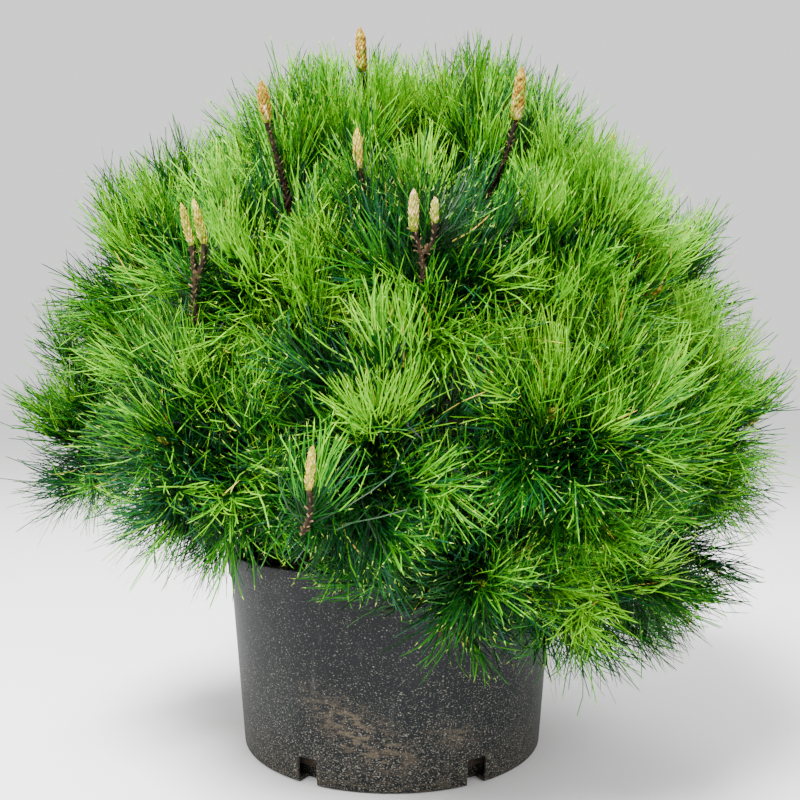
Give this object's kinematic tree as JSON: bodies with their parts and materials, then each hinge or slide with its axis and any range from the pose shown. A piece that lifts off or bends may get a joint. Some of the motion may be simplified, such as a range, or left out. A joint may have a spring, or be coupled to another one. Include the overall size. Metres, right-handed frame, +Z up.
{
  "type": "potted pine",
  "caption": "Potted dwarf globe pine: dense round crown of long needle brushes with bud candles on short boughs, in a squat dark nursery pot.",
  "frame": {"origin": "on the ground at the pot's axis, on the flat pad in the middle of the pot's underside", "axes": "+Z up along the pot's axis, -Y towards the front that the picture shows"},
  "size_m": [0.738, 0.6942, 0.6965],
  "materials": {
    "nursery_pot_plastic": "recycled dark grey polypropylene, dusty and scuffed",
    "peat_and_bark_soil": "damp dark potting soil",
    "young_pine_bark": "scaly grey-brown bark",
    "pine_needles": "satin green needles"
  },
  "bodies": {
    "root": {"pot": "nursery_pot_plastic", "potting_soil": "peat_and_bark_soil", "trunk": "young_pine_bark", "foliage_top": "pine_needles", "bough_crest_1": "young_pine_bark", "foliage_crest_1": "pine_needles", "bough_crest_2": "young_pine_bark", "foliage_crest_2": "pine_needles", "bough_crest_3": "young_pine_bark", "foliage_crest_3": "pine_needles", "bough_crest_4": "young_pine_bark", "foliage_crest_4": "pine_needles", "bough_crest_5": "young_pine_bark", "foliage_crest_5": "pine_needles", "bough_shoulder_1": "young_pine_bark", "foliage_shoulder_1": "pine_needles", "bough_shoulder_2": "young_pine_bark", "foliage_shoulder_2": "pine_needles", "bough_shoulder_3": "young_pine_bark", "foliage_shoulder_3": "pine_needles", "bough_shoulder_4": "young_pine_bark", "foliage_shoulder_4": "pine_needles", "bough_shoulder_5": "young_pine_bark", "foliage_shoulder_5": "pine_needles", "bough_shoulder_6": "young_pine_bark", "foliage_shoulder_6": "pine_needles", "bough_shoulder_7": "young_pine_bark", "foliage_shoulder_7": "pine_needles", "bough_shoulder_8": "young_pine_bark", "foliage_shoulder_8": "pine_needles", "bough_waist_1": "young_pine_bark", "foliage_waist_1": "pine_needles", "bough_waist_2": "young_pine_bark", "foliage_waist_2": "pine_needles", "bough_waist_3": "young_pine_bark", "foliage_waist_3": "pine_needles", "bough_waist_4": "young_pine_bark", "foliage_waist_4": "pine_needles", "bough_waist_5": "young_pine_bark", "foliage_waist_5": "pine_needles", "bough_waist_6": "young_pine_bark", "foliage_waist_6": "pine_needles", "bough_waist_7": "young_pine_bark", "foliage_waist_7": "pine_needles", "bough_waist_8": "young_pine_bark", "foliage_waist_8": "pine_needles", "bough_skirt_1": "young_pine_bark", "foliage_skirt_1": "pine_needles", "bough_skirt_2": "young_pine_bark", "foliage_skirt_2": "pine_needles", "bough_skirt_3": "young_pine_bark", "foliage_skirt_3": "pine_needles", "bough_skirt_4": "young_pine_bark", "foliage_skirt_4": "pine_needles", "bough_skirt_5": "young_pine_bark", "foliage_skirt_5": "pine_needles", "bough_skirt_6": "young_pine_bark", "foliage_skirt_6": "pine_needles", "bough_skirt_7": "young_pine_bark", "foliage_skirt_7": "pine_needles"}
  },
  "joints": []
}
